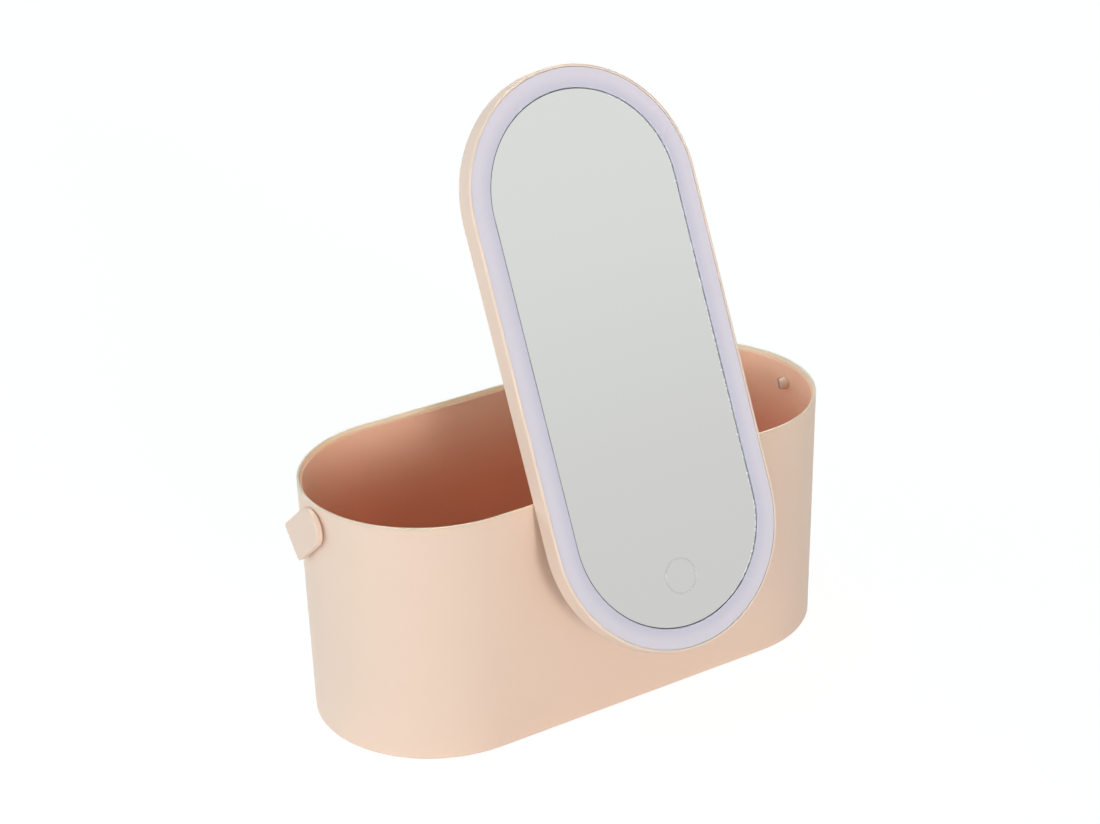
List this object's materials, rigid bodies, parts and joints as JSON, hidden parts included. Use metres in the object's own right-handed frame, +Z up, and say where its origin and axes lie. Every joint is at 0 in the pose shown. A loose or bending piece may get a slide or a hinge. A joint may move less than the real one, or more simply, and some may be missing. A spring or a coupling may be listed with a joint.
{
  "type": "vanity box with mirror lid",
  "caption": "Pill-shaped vanity bin with end latches and a detachable lid that is a lit mirror, hung leaning back on the front rim by a folding leg.",
  "frame": {"origin": "centre of the bin's underside, on the face of its non-slip pad", "axes": "+Z up, X along the bin with its latches at the ends, -Y the front, where the mirror lid hangs"},
  "size_m": [0.2922, 0.1724, 0.3119],
  "materials": {
    "blush_plastic": "satin moulded ABS in blush pink",
    "grey_rubber": "soft matt silicone rubber",
    "milky_plastic": "milky light-spreading acrylic with a satin face",
    "silvered_glass": "flat float-glass mirror",
    "black_adhesive": "matt foam adhesive",
    "white_plastic": "white reflective moulding",
    "white_board": "white solder mask",
    "led_package": "white package with yellow phosphor",
    "green_board": "green solder mask",
    "chip_plastic": "black moulded packages",
    "steel": "plain bright steel",
    "cell_pouch": "dull foil pouch",
    "copper": "bare copper foil",
    "red_insulation": "soft wire insulation"
  },
  "bodies": {
    "box": {"box_shell": "blush_plastic", "base_pad": "grey_rubber", "latch_washers": "grey_rubber"},
    "latch_left": {"left_latch": "blush_plastic"},
    "latch_right": {"right_latch": "blush_plastic"},
    "lid": {"lid_frame": "blush_plastic", "back_cover": "blush_plastic", "light_diffuser": "milky_plastic", "mirror_glass": "silvered_glass", "mirror_tape": "black_adhesive", "mirror_tray": "white_plastic", "led_board": "white_board", "leds": "led_package", "control_board": "green_board", "board_parts": "chip_plastic", "charging_socket": "steel", "battery_cell": "cell_pouch", "cell_pad": "black_adhesive", "touch_electrode": "copper", "cell_leads": "red_insulation", "led_leads": "red_insulation", "touch_lead": "red_insulation", "cover_screws": "steel", "board_screws": "steel", "stand_pin": "steel"},
    "stand": {"stand_leg": "blush_plastic", "stand_tip": "grey_rubber"}
  },
  "joints": [
    {"name": "lid_lift", "type": "slide", "parent": "box", "child": "lid", "axis": [0, 0, 1], "range_m": [0, 0.1]},
    {"name": "leg_fold", "type": "hinge", "parent": "lid", "child": "stand", "pos_m": [0.003, -0.05736, 0.14746], "axis": [1, 0, 0], "range_deg": [0, 156.2]},
    {"name": "left_latch_turn", "type": "hinge", "parent": "box", "child": "latch_left", "pos_m": [-0.14315, 0, 0.1145], "axis": [1, 0, 0], "range_deg": [0, 260]},
    {"name": "right_latch_turn", "type": "hinge", "parent": "box", "child": "latch_right", "pos_m": [0.14315, 0, 0.1145], "axis": [1, 0, 0], "range_deg": [0, 260]}
  ]
}
